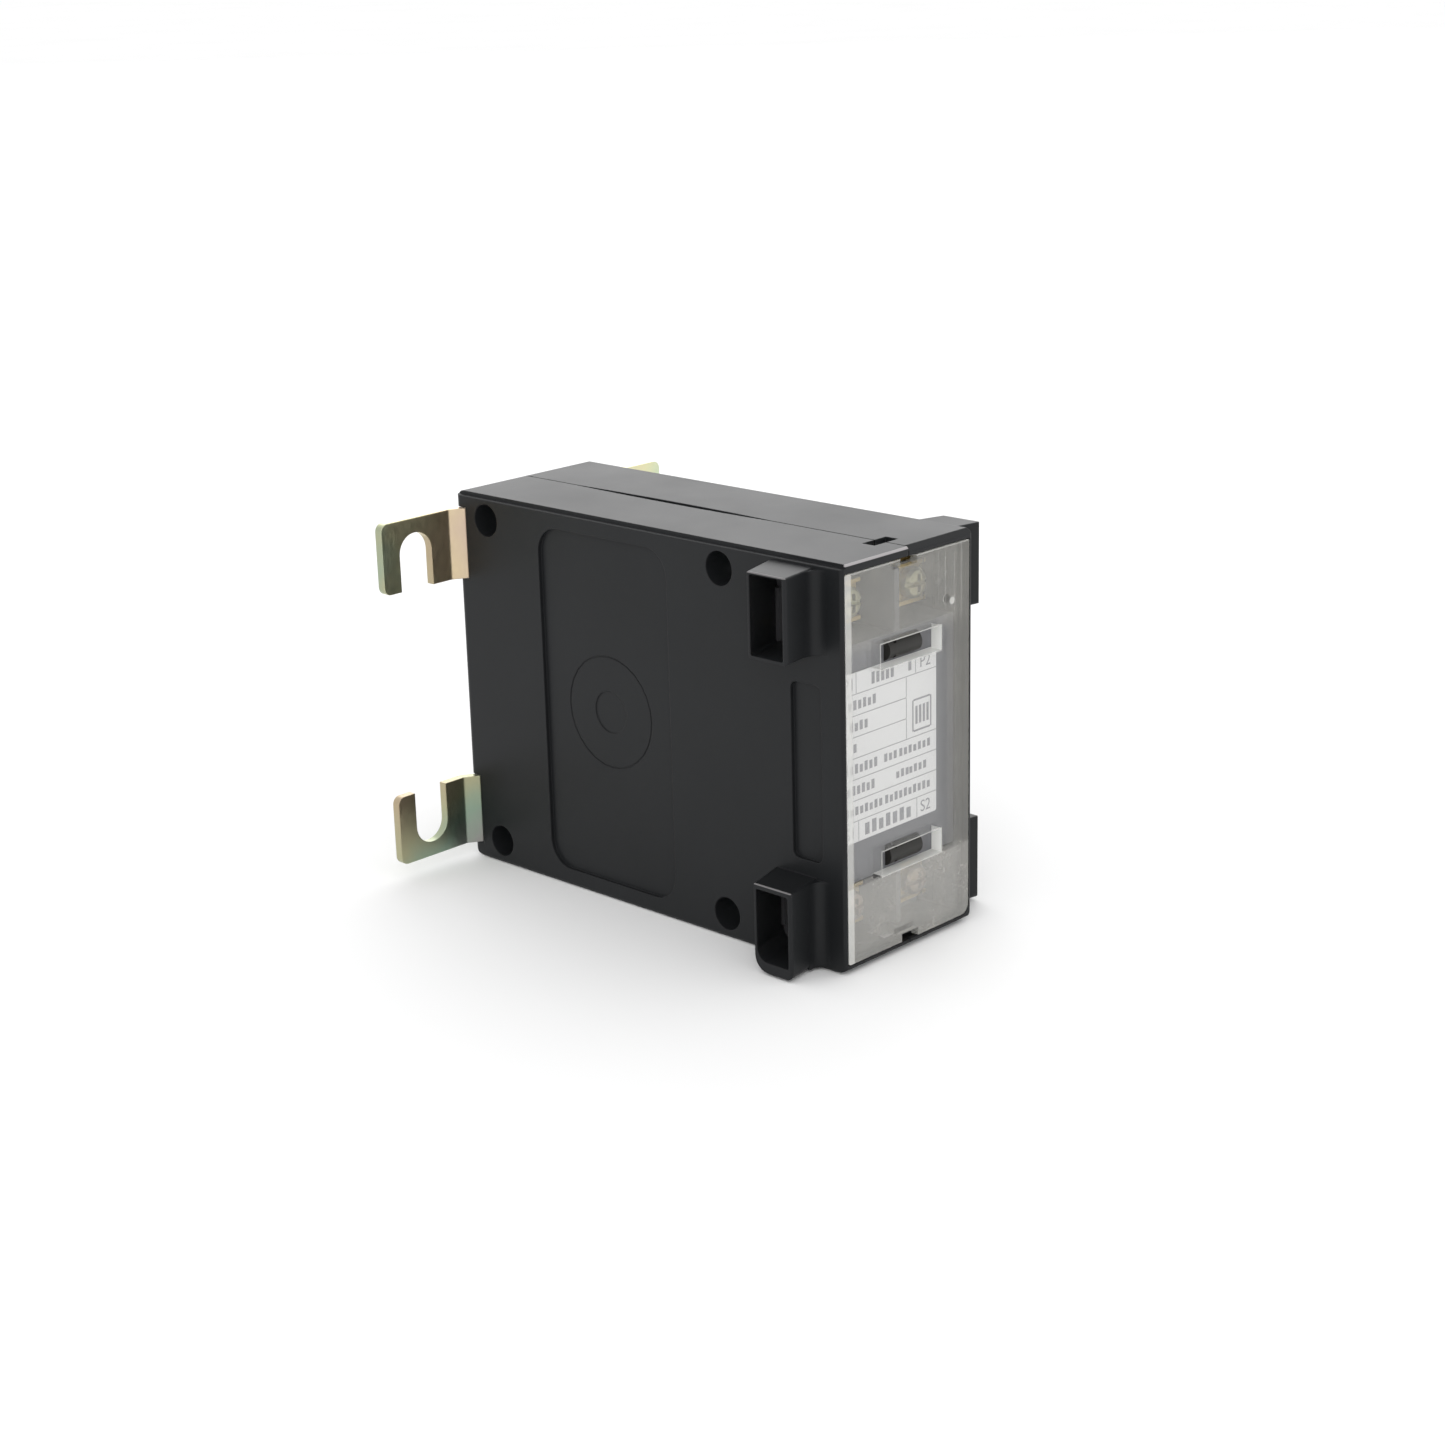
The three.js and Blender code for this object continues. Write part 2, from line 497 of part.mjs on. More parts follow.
function terminalBoard() {
  const edge = CAVITY_X - 0.2;
  const reach = MID_HEIGHT - CAVITY_LOW - 0.2;
  const blockX = edge - 0.1;
  let body = box(-edge, edge, BOARD_FRONT, BOARD_BACK, MID_HEIGHT - reach, MID_HEIGHT + reach);
  body = body.add(box(-edge - 0.8, edge + 0.8, BOARD_FRONT, BOARD_BACK, 6.3, 78.7));
  const blockHigh = MID_HEIGHT + BLOCK_HALF_HEIGHT;
  const into = BOARD_FRONT + 1;
  body = body.add(box(-blockX, blockX, BLOCK_FRONT, into, BODY_HEIGHT - blockHigh, blockHigh));
  for (const level of [-1, 1]) {
    // Barrier between the two terminals, cut away for the cover's hook, and the sealing post in the window.
    const barrier = BLOCK_HALF_HEIGHT - 1;
    body = body.add(levelBox(level, -0.75, 0.75, BLOCK_FRONT, into, barrier, HOOK_LOW - 0.4));
    body = body.add(levelBox(level, -0.75, 0.75, HOOK_SLOT_BACK + 0.2, into, HOOK_LOW - 1, reach));
    const postZ = MID_HEIGHT + level * WINDOW_OFFSET;
    const post = rod('x', 2.35, WINDOW_X - 5.1, WINDOW_X + 5.1, [3.7, postZ]);
    const wireHole = rod('z', 0.7, postZ - 4, postZ + 4, [WINDOW_X - 3, 2.42], 12);
    body = body.add(post).subtract(wireHole);
  }
  for (const { x, z, level } of terminalPlaces()) {
    // Plinth under the terminal plate, with the nut's pocket and room for the screw's end.
    const tailZ = TERMINAL_Z_OFFSET - 4.5;
    body = body.add(levelBox(level, x - 5.3, x + 5.3, 11, into, tailZ + 0.7, reach - 0.6));
    body = body.subtract(box(x - 3.7, x + 3.7, 10, 14.4, z - 3.7, z + 3.7));
    body = body.subtract(rod('y', 2.4, 14, BOARD_BACK + 1, [x, z], 16));
    body = body.subtract(levelBox(level, x - 2.3, x + 2.3, 17, BOARD_BACK + 1, tailZ - 0.8, tailZ + 0.8));
  }
  // The block is hollow from behind.
  const hollow = BLOCK_HALF_HEIGHT - 1.5;
  return body.subtract(
    box(-blockX + 1.5, blockX - 1.5, 6.4, BOARD_BACK + 1, MID_HEIGHT - hollow, MID_HEIGHT + hollow),
  );
}

function terminalCover() {
  let body = solid(extrude(coverOutline(0), 'y', 0, COVER_THICKNESS));
  for (const level of [-1, 1]) {
    const windowZ = MID_HEIGHT + level * WINDOW_OFFSET;
    const [low, high] = [windowZ - WINDOW_HEIGHT / 2, windowZ + WINDOW_HEIGHT / 2];
    const [left, right] = [WINDOW_X - WINDOW_WIDTH / 2, WINDOW_X + WINDOW_WIDTH / 2];
    body = body.subtract(box(left, right, -1, COVER_THICKNESS + 1, low, high));
    // Collar behind the window.
    const collar = box(left - 0.8, right + 0.8, COVER_THICKNESS - 0.5, 2.7, low - 0.8, high + 0.8);
    body = body.add(collar.subtract(box(left, right, -1, 4, low, high)));
    // Notch at the rim, and the hook that reaches into the case's slot.
    const rim = COVER_HIGH - MID_HEIGHT;
    body = body.subtract(levelBox(level, -2.6, 2.6, -1, COVER_THICKNESS + 1, rim - 1.7, rim + 1));
    body = body.add(levelBox(level, -3, 3, COVER_THICKNESS - 0.5, 8.6, HOOK_LOW, HOOK_LOW + 1.3));
    body = body.add(levelBox(level, -3, 3, 6.2, 8.6, HOOK_LOW + 0.6, HOOK_LOW + 2.4));
  }
  // Gate stud on the inner face.
  return body.add(rod('y', 1, COVER_THICKNESS - 0.5, 2.5, [14.4, 72.2], 20));
}

function ratingLabel() {
  const shape = roundedRectangle(-17.6, 12.2, 26.6, 62.5, 0.5);
  return solid(extrude(shape, 'y', BLOCK_FRONT - 0.3, BLOCK_FRONT - 0.05, 4));
}

// ---- terminals ---------------------------------------------------------------------------------

const PLATE_FRONT = 10;

// Bent strip: the contact pad in front of the plinth and the tail that runs back through the board.
function terminalPlate({ x, z, level }) {
  const pad = box(x - 4.2, x + 4.2, PLATE_FRONT, 10.9, z - 4.8, z + 4.8);
  const tail = levelBox(level, x - 2, x + 2, PLATE_FRONT, 24, TERMINAL_Z_OFFSET - 5, TERMINAL_Z_OFFSET - 4);
  return pad.add(tail).subtract(rod('y', 2.1, 9, 12, [x, z], 16));
}

function terminalNut({ x, z }) {
  const block = box(x - 3.5, x + 3.5, 11, 14.2, z - 3.5, z + 3.5);
  return block.subtract(rod('y', 2.05, 10, 15, [x, z], 16));
}

// Square pressure plate with two edges turned up beside the screw head.
function clampWasher({ x, z }) {
  let body = box(x - 4.3, x + 4.3, 8.7, PLATE_FRONT - GAP, z - 4.4, z + 4.4);
  for (const level of [-1, 1]) {
    const [z0, z1] = level > 0 ? [z + 3.5, z + 4.4] : [z - 4.4, z - 3.5];
    body = body.add(box(x - 4.3, x + 4.3, 7.6, 8.9, z0, z1));
  }
  return body.subtract(rod('y', 2.2, 8, 11, [x, z], 16));
}

// Pan-head screw with a combined cross and slot recess.
function terminalScrew({ x, z }) {
  const profile = [
    [0, 5.6],
    [1.9, 5.7],
    [2.8, 6.1],
    [3.3, 6.9],
    [3.3, 8.6],
    [1.95, 8.6],
    [1.95, 17],
    [1.5, 17.5],
    [0, 17.5],
  ];
  const slot = box(x - 4, x + 4, 4, 6.9, z - 0.45, z + 0.45);
  const cross = box(x - 0.5, x + 0.5, 4, 7.3, z - 2, z + 2);
  return turned(profile, x, z).subtract(slot.add(cross));
}

// ---- case screws and their inserts -------------------------------------------------------------

function caseScrew({ y, z }) {
  const floor = -COUNTERBORE_FLOOR - 0.05;
  const head = rod('x', 3.4, floor - 2.6, floor, [y, z]);
  const shank = rod('x', 1.95, floor - 0.5, 7.5, [y, z], 16);
  const recess = box(floor - 3, floor - 1.2, y - 2.1, y + 2.1, z - 0.5, z + 0.5).add(
    box(floor - 3, floor - 1.2, y - 0.5, y + 0.5, z - 2.1, z + 2.1),
  );
  return head.add(shank).subtract(recess);
}

function caseInsert({ y, z }) {
  return rod('x', 2.6, 0.4, 8.6, [y, z], 16).subtract(rod('x', 2.05, 0, 9, [y, z], 16));
}

// ---- core, bobbin and windings -----------------------------------------------------------------

const CORE_HALF_STACK = CORE_STACK / 2;
const RIVET_INSET = CORE_UNIT / 2;

function rivetPlaces() {
  const places = [];
  for (const y of [CORE_FRONT + RIVET_INSET, CORE_FRONT + CORE_DEPTH - RIVET_INSET]) {
    for (const level of [-1, 1]) {
      places.push({ y, z: MID_HEIGHT + level * (CORE_HALF_HEIGHT - RIVET_INSET) });
    }
  }
  return places;
}

function coreStack(body) {
  const holes = rivetPlaces().map(({ y, z }) => rod('x', 2.1, -20, 20, [y, z], 16));
  return body.subtract(union(holes));
}

function coreE() {
  const [h, u] = [CORE_HALF_HEIGHT, CORE_UNIT];
  const back = CORE_FRONT + CORE_DEPTH;
  const shape = outline([
    [YOKE_BACK, MID_HEIGHT - h],
    [back, MID_HEIGHT - h],
    [back, MID_HEIGHT + h],
    [YOKE_BACK, MID_HEIGHT + h],
    [YOKE_BACK, MID_HEIGHT + h - u],
    [LEG_END, MID_HEIGHT + h - u],
    [LEG_END, MID_HEIGHT + u],
    [YOKE_BACK, MID_HEIGHT + u],
    [YOKE_BACK, MID_HEIGHT - u],
    [LEG_END, MID_HEIGHT - u],
    [LEG_END, MID_HEIGHT - h + u],
    [YOKE_BACK, MID_HEIGHT - h + u],
  ]);
  return coreStack(solid(extrude(shape, 'x', -CORE_HALF_STACK, CORE_HALF_STACK)));
}

function coreI() {
  const [low, high] = [MID_HEIGHT - CORE_HALF_HEIGHT, MID_HEIGHT + CORE_HALF_HEIGHT];
  const shape = roundedRectangle(CORE_FRONT, YOKE_BACK - GAP, low, high, 0);
  return coreStack(solid(extrude(shape, 'x', -CORE_HALF_STACK, CORE_HALF_STACK)));
}

function coreRivet({ y, z }) {
  const shank = rod('x', 1.9, -CORE_HALF_STACK - 1, CORE_HALF_STACK + 1, [y, z], 16);
  const left = rod('x', 3.2, -CORE_HALF_STACK - 1.5, -CORE_HALF_STACK - GAP, [y, z], 16);
  const right = rod('x', 3.2, CORE_HALF_STACK + GAP, CORE_HALF_STACK + 1.5, [y, z], 16);
  return shank.add(left).add(right);
}

// Rectangular sleeve round the centre leg, between two half sizes (x and z), from y0 to y1.
function sleeve(inner, outer, y0, y1) {
  const grow = outer.x - inner.x;
  const shape = roundedRectangle(-outer.x, outer.x, MID_HEIGHT - outer.z, MID_HEIGHT + outer.z, grow);
  const hole = roundedRectangle(-inner.x, inner.x, MID_HEIGHT - inner.z, MID_HEIGHT + inner.z, 0);
  return solid(extrude(shape, 'y', y0, y1, 2)).subtract(solid(extrude(hole, 'y', y0 - 1, y1 + 1)));
}

const grown = ({ x, z }, by) => ({ x: x + by, z: z + by });
const LEG_CLEAR = { x: CORE_HALF_STACK + 0.3, z: CORE_UNIT + 0.3 };
const TUBE_OUTER = grown(LEG_CLEAR, 1.2);
const SECONDARY_OUTER = grown(TUBE_OUTER, 4);
const LAYER_OUTER = grown(SECONDARY_OUTER, 0.5);
const PRIMARY_OUTER = grown(LAYER_OUTER, 3.9);
const TAPE_OUTER = grown(PRIMARY_OUTER, 0.5);
const FLANGE = 1.5;
const COIL_FRONT = YOKE_BACK + 0.3;
const COIL_BACK = LEG_END - 0.3;
const LEAD_Z_OFFSET = { p: 12.5, s: -10.5 };
const LEAD_X = { p: 15.2, s: 10.8 };

function bobbin() {
  const flangeOuter = { x: CAVITY_X - 0.6, z: 2 * CORE_UNIT - 0.4 };
  let body = sleeve(LEG_CLEAR, TUBE_OUTER, COIL_FRONT, COIL_BACK);
  body = body.add(sleeve(LEG_CLEAR, flangeOuter, COIL_FRONT, COIL_FRONT + FLANGE));
  body = body.add(sleeve(LEG_CLEAR, flangeOuter, COIL_BACK - FLANGE, COIL_BACK));
  // Passages for the four leads.
  for (const kind of ['p', 's']) {
    for (const side of [-1, 1]) {
      const centre = [side * LEAD_X[kind], MID_HEIGHT + LEAD_Z_OFFSET[kind]];
      body = body.subtract(rod('y', 1.7, COIL_FRONT - 1, COIL_FRONT + FLANGE + 0.5, centre, 12));
    }
  }
  return body;
}

function winding(inner, outer) {
  return sleeve(grown(inner, GAP), outer, COIL_FRONT + FLANGE + 0.2, COIL_BACK - FLANGE - 0.2);
}

// Insulated wire from the coil, over the front yoke, to the tail of its terminal.
function lead({ name, x, level }) {
  const kind = name[0];
  const side = Math.sign(x);
  const radius = kind === 'p' ? 1.15 : 0.75;
  const startZ = MID_HEIGHT + LEAD_Z_OFFSET[kind];
  const endZ = MID_HEIGHT + level * (TERMINAL_Z_OFFSET - 4.5);
  const path = new THREE.CatmullRomCurve3([
    new THREE.Vector3(side * LEAD_X[kind], COIL_FRONT + FLANGE - 0.2, startZ),
    new THREE.Vector3(side * LEAD_X[kind], COIL_FRONT - 3, startZ + level * 0.6),
    new THREE.Vector3(side * (LEAD_X[kind] - 0.5), 40, startZ + level * 5),
    new THREE.Vector3(side * (TERMINAL_X + 1), 31, endZ - level * 5),
    new THREE.Vector3(side * TERMINAL_X, 26.5, endZ - level * 0.8),
    new THREE.Vector3(side * TERMINAL_X, 24.4, endZ),
  ]);
  const section = new THREE.Shape();
  section.absarc(0, 0, radius, 0, 2 * Math.PI);
  return solid(new THREE.ExtrudeGeometry(section, { extrudePath: path, steps: 12, curveSegments: 4 }));
}

// ---- assembly ----------------------------------------------------------------------------------

const group = new THREE.Group();
const add = (name, body, material) => group.add(piece(name, body, material));
const SIDES = [
  ['left', -1],
  ['right', 1],
];
const LEVELS = [
  ['upper', 1],
  ['lower', -1],
];

for (const [sideName, side] of SIDES) add(`housing_${sideName}`, halfCase(side), BLACK_PLASTIC);
add('terminal_board', terminalBoard(), GREY_PLASTIC);
add('terminal_cover', terminalCover(), CLEAR_PLASTIC);
add('rating_label', ratingLabel(), LABEL_FILM);
for (const [levelName, level] of LEVELS) {
  for (const [sideName, side] of SIDES) {
    add(`foot_${levelName}_${sideName}`, foot(side, level), CHROMATED_ZINC);
  }
}
for (const place of caseScrewPlaces()) {
  add(`case_screw_${place.name}`, caseScrew(place), BRIGHT_ZINC);
  add(`case_insert_${place.name}`, caseInsert(place), BRASS);
}
for (const place of terminalPlaces()) {
  add(`terminal_plate_${place.name}`, terminalPlate(place), BRASS);
  add(`terminal_nut_${place.name}`, terminalNut(place), BRIGHT_ZINC);
  add(`clamp_washer_${place.name}`, clampWasher(place), BRASS);
  add(`terminal_screw_${place.name}`, terminalScrew(place), CHROMATED_ZINC);
  add(`lead_${place.name}`, lead(place), COPPER);
}
add('core_e_stack', coreE(), SILICON_STEEL);
add('core_i_stack', coreI(), SILICON_STEEL);
rivetPlaces().forEach((place, index) => add(`core_rivet_${index + 1}`, coreRivet(place), BRIGHT_ZINC));
add('bobbin', bobbin(), NYLON);
add('secondary_winding', winding(TUBE_OUTER, SECONDARY_OUTER), COPPER);
add('layer_insulation', winding(SECONDARY_OUTER, LAYER_OUTER), TAPE);
add('primary_winding', winding(LAYER_OUTER, PRIMARY_OUTER), COPPER);
add('outer_tape', winding(PRIMARY_OUTER, TAPE_OUTER), TAPE);

group.position.y = -OVERALL_DEPTH / 2;
group.updateMatrixWorld(true);

export default group;
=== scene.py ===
import json
import math

import bmesh
import bpy
from mathutils import Matrix, Vector


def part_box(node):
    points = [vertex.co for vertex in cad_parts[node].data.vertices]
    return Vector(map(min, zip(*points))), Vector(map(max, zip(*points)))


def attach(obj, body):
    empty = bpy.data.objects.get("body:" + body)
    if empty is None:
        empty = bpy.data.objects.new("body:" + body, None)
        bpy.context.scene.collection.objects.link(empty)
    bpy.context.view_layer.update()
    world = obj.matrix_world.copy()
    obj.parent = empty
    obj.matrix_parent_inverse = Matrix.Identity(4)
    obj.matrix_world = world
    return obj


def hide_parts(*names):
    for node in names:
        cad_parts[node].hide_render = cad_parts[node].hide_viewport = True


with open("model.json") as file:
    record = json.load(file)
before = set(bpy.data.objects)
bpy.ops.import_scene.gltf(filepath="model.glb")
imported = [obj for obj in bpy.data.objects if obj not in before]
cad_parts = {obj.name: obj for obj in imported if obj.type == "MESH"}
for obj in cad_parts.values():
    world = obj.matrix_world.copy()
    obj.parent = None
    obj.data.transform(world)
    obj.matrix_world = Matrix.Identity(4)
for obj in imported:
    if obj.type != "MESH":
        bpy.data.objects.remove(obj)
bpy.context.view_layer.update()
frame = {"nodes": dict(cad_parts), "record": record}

MM = 0.001

# ---- places on the part, in metres -------------------------------------------------------------------

CASE_LOW, CASE_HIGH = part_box("housing_left")
COVER_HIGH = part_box("terminal_cover")[1]
LABEL_LOW, LABEL_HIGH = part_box("rating_label")
FRONT = CASE_LOW.y  # plane of the terminal face
MID_HEIGHT = CASE_HIGH.z / 2
WINDOW_X = 0.8 * MM  # centre of the two sealing windows
WINDOW_OFFSET = 22 * MM  # their distance from mid height
WINDOW_HALF_WIDTH = 9.6 * MM
WINDOW_HALF_HEIGHT = 2.6 * MM
COVER_THICKNESS = 1.8 * MM
COLLAR_BACK = FRONT + 2.8 * MM
POST_HALF_LENGTH = 5.1 * MM
POST_RADIUS = 2.35 * MM
BLOCK_FRONT = FRONT + 3.1 * MM
LOWER_DUCT_TOP = 19.6 * MM
GATE = (13.9 * MM, 72.2 * MM)
DRAFT_LINES = ((11.7 * MM, 0.2 * MM, 0.1 * MM), (16.9 * MM, 0.3 * MM, 0.2 * MM))  # place, half width, blur


# ---- materials -------------------------------------------------------------------------------------


class Shader:
    """A node material built on one Principled shader, textured in object coordinates."""

    def __init__(self, name):
        self.material = bpy.data.materials.new(name)
        self.material.use_nodes = True
        self.tree = self.material.node_tree
        self.principled = next(n for n in self.tree.nodes if n.type == "BSDF_PRINCIPLED")
        texture = self.tree.nodes.new("ShaderNodeTexCoord")
        self.coordinates = texture.outputs["Object"]
        self.normals = texture.outputs["Normal"]
        self.axes = None

    def node(self, kind, links=None, **settings):
        node = self.tree.nodes.new(kind)
        for key, value in settings.items():
            setattr(node, key, value)
        for key, value in (links or {}).items():
            self.feed(node.inputs[key], value)
        return node

    def feed(self, socket, value):
        if isinstance(value, bpy.types.NodeSocket):
            self.tree.links.new(value, socket)
        else:
            socket.default_value = value

    def set(self, **values):
        for key, value in values.items():
            self.feed(self.principled.inputs[key.replace("_", " ")], value)

    def noise(self, scale, detail=3.0, roughness=0.55, stretch=None):
        vector = self.coordinates
        if stretch:
            vector = self.node("ShaderNodeMapping", {0: vector, "Scale": stretch}).outputs[0]
        links = {"Vector": vector, "Scale": scale, "Detail": detail, "Roughness": roughness}
        return self.node("ShaderNodeTexNoise", links).outputs["Fac"]

    def ramp(self, value, stops):
        node = self.node("ShaderNodeValToRGB", {0: value})
        elements = node.color_ramp.elements
        while len(elements) < len(stops):
            elements.new(0.5)
        for element, (position, colour) in zip(elements, stops):
            element.position = position
            element.color = (*colour, 1)
        return node.outputs["Color"]

    def math(self, operation, a, b=0.0):
        return self.node("ShaderNodeMath", {0: a, 1: b}, operation=operation).outputs[0]

    def product(self, first, *others):
        for value in others:
            first = self.math("MULTIPLY", first, value)
        return first

    def largest(self, first, *others):
        for value in others:
            first = self.math("MAXIMUM", first, value)
        return first

    def span(self, value, low, high, out_low=0.0, out_high=1.0):
        links = {"Value": value, "From Min": low, "From Max": high, "To Min": out_low, "To Max": out_high}
        return self.node("ShaderNodeMapRange", links, clamp=True).outputs[0]

    def mix(self, factor, a, b):
        node = self.node("ShaderNodeMix", data_type="RGBA")
        for index, value in ((0, factor), (6, a), (7, b)):
            colour = value if isinstance(value, (bpy.types.NodeSocket, float)) else (*value, 1)
            self.feed(node.inputs[index], colour)
        return node.outputs[2]

    def axis(self, letter):
        if self.axes is None:
            self.axes = self.node("ShaderNodeSeparateXYZ", {0: self.coordinates}).outputs
        return self.axes["XYZ".index(letter)]

    def offset(self, value, centre):
        """Distance of a value from a centre."""
        return self.math("ABSOLUTE", self.math("SUBTRACT", value, centre))

    def within(self, distance, limit, blur=0.05 * MM):
        """1 where a distance is below a limit, 0 beyond it, with a blurred step between."""
        return self.span(distance, limit, limit - blur)

    def beyond(self, place, limit, blur=0.1 * MM):
        """1 where a place is past a limit, 0 before it, with a blurred step between."""
        return self.span(place, limit, limit + blur)

    def scalar_mix(self, factor, a, b):
        return self.node("ShaderNodeMix", {0: factor, 2: a, 3: b}).outputs[0]

    def bump(self, height, strength, distance, rounding=0.0):
        """Fine relief, on edges that are rounded by a radius if one is given."""
        links = {"Height": height, "Strength": strength, "Distance": distance}
        if rounding:
            links["Normal"] = self.node("ShaderNodeBevel", {"Radius": rounding}, samples=4).outputs[0]
        self.feed(self.principled.inputs["Normal"], self.node("ShaderNodeBump", links).outputs[0])


def black_plastic():
    """Moulded plastic, with painted highlights along the left half's front top edge and the tops of the
    ducts' mouths.
    """
    s = Shader("black_moulded_plastic")
    broad = s.noise(38.0, 4.0)
    fine = s.noise(4200.0, 2.0)
    x, y, z = (s.axis(letter) for letter in "XYZ")
    at_left = s.span(x, 0.0, -0.2 * MM)
    at_top = s.beyond(z, CASE_HIGH.z - 0.5 * MM)
    # Painted highlights: light grey is painted into the colour along the left half's front top edge and
    # the top rims of the ducts' outer mouths.
    front_edge_highlight = s.product(s.within(y, FRONT + 0.5 * MM, 0.1 * MM), at_top, at_left)
    lower_top = s.within(s.offset(z, LOWER_DUCT_TOP), 0.3 * MM, 0.1 * MM)
    mouth_top = s.largest(s.beyond(z, CASE_HIGH.z - 1.7 * MM), lower_top)
    mouth_highlight = s.product(s.beyond(s.offset(x, 0.0), 30.2 * MM), mouth_top, 0.5)
    moulded = s.mix(broad, (0.0095, 0.0102, 0.011), (0.0145, 0.0155, 0.0168))
    s.set(Base_Color=s.mix(s.largest(front_edge_highlight, mouth_highlight), moulded, (0.36, 0.345, 0.35)))
    s.set(Roughness=s.span(s.math("ADD", broad, s.product(fine, 0.4)), 0.3, 1.1, 0.34, 0.44))
    s.set(Specular_IOR_Level=0.165)
    s.bump(fine, 0.2, 0.04 * MM, rounding=0.35 * MM)
    return s.material


def grey_board():
    """Grey moulding of the terminal board, with painted shade darkening it towards its back, and its two
    sealing posts black.
    """
    s = Shader("grey_moulded_plastic")
    x, y, z = (s.axis(letter) for letter in "XYZ")
    tone = s.noise(60.0, 4.0)
    fine = s.noise(3200.0, 2.0)
    in_length = s.within(s.offset(x, WINDOW_X), POST_HALF_LENGTH + 0.06 * MM, 0.04 * MM)
    in_height = s.within(s.offset(s.offset(z, MID_HEIGHT), WINDOW_OFFSET), POST_RADIUS + 0.1 * MM)
    post = s.product(in_length, in_height, s.within(y, BLOCK_FRONT))
    grey = s.mix(tone, (0.145, 0.147, 0.156), (0.175, 0.176, 0.184))
    # Painted shade: the grey is darkened towards the board's back, deep inside the case.
    painted_shading = s.span(y, FRONT + 5 * MM, FRONT + 12 * MM, 0.0, 0.75)
    s.set(Base_Color=s.mix(post, s.mix(painted_shading, grey, (0.03, 0.03, 0.032)), (0.02, 0.019, 0.017)))
    s.set(Roughness=s.span(tone, 0.3, 0.7, 0.42, 0.52))
    s.set(Specular_IOR_Level=0.3)
    s.bump(fine, 0.15, 0.03 * MM)
    return s.material


def cover_marks_and_highlights(s, upper, in_plate, window, wall, local):
    """How white the cover is: painted highlights on its left and upper rims, walls painted white for the
    light they catch, and moulding marks.
    """
    x, y, z = (s.axis(letter) for letter in "XYZ")
    # Painted highlights: the left rim and the upper rim of the plate are painted white.
    left_rim_highlight = s.span(x, -17.5 * MM, -17.9 * MM)
    rim_highlight = s.largest(left_rim_highlight, s.product(s.beyond(z, COVER_HIGH.z - 0.4 * MM), 0.6))
    # Painted highlights: only the plate's left wall and the right and lower walls of the windows are
    # painted white, for the light they catch.
    right_wall = s.span(x, 10.2 * MM, 10.3 * MM, 0.08, 1.0)
    lower_wall = s.span(local, -2.4 * MM, -2.5 * MM, 0.08, 0.8)
    left_wall = s.product(in_plate, s.span(x, -19.2 * MM, -19.4 * MM))
    painted_lit_walls = s.product(wall, s.largest(left_wall, s.product(window, s.largest(right_wall, lower_wall))))
    # A fine outline around each window on the front face.
    across = s.within(s.offset(x, WINDOW_X), WINDOW_HALF_WIDTH + 0.3 * MM, 0.06 * MM)
    upright = s.within(s.math("ABSOLUTE", local), WINDOW_HALF_HEIGHT + 0.3 * MM, 0.06 * MM)
    outline = s.product(across, upright, s.within(y, FRONT + 0.3 * MM, 0.1 * MM), 0.5)
    # Gate mark, its ring painted white as a painted highlight, and two draft lines at the right of the
    # upper zone.
    squares = [s.math("POWER", s.offset(value, centre), 2.0) for value, centre in zip((x, z), GATE)]
    gate_ring_highlight = s.product(s.within(s.math("SQRT", s.math("ADD", *squares)), 1.0 * MM, 0.4 * MM), 0.55)
    line = s.largest(*(s.within(s.offset(x, place), half, blur) for place, half, blur in DRAFT_LINES))
    return s.largest(s.product(rim_highlight, 0.5), painted_lit_walls, outline, gate_ring_highlight, s.product(line, upper, 0.18))


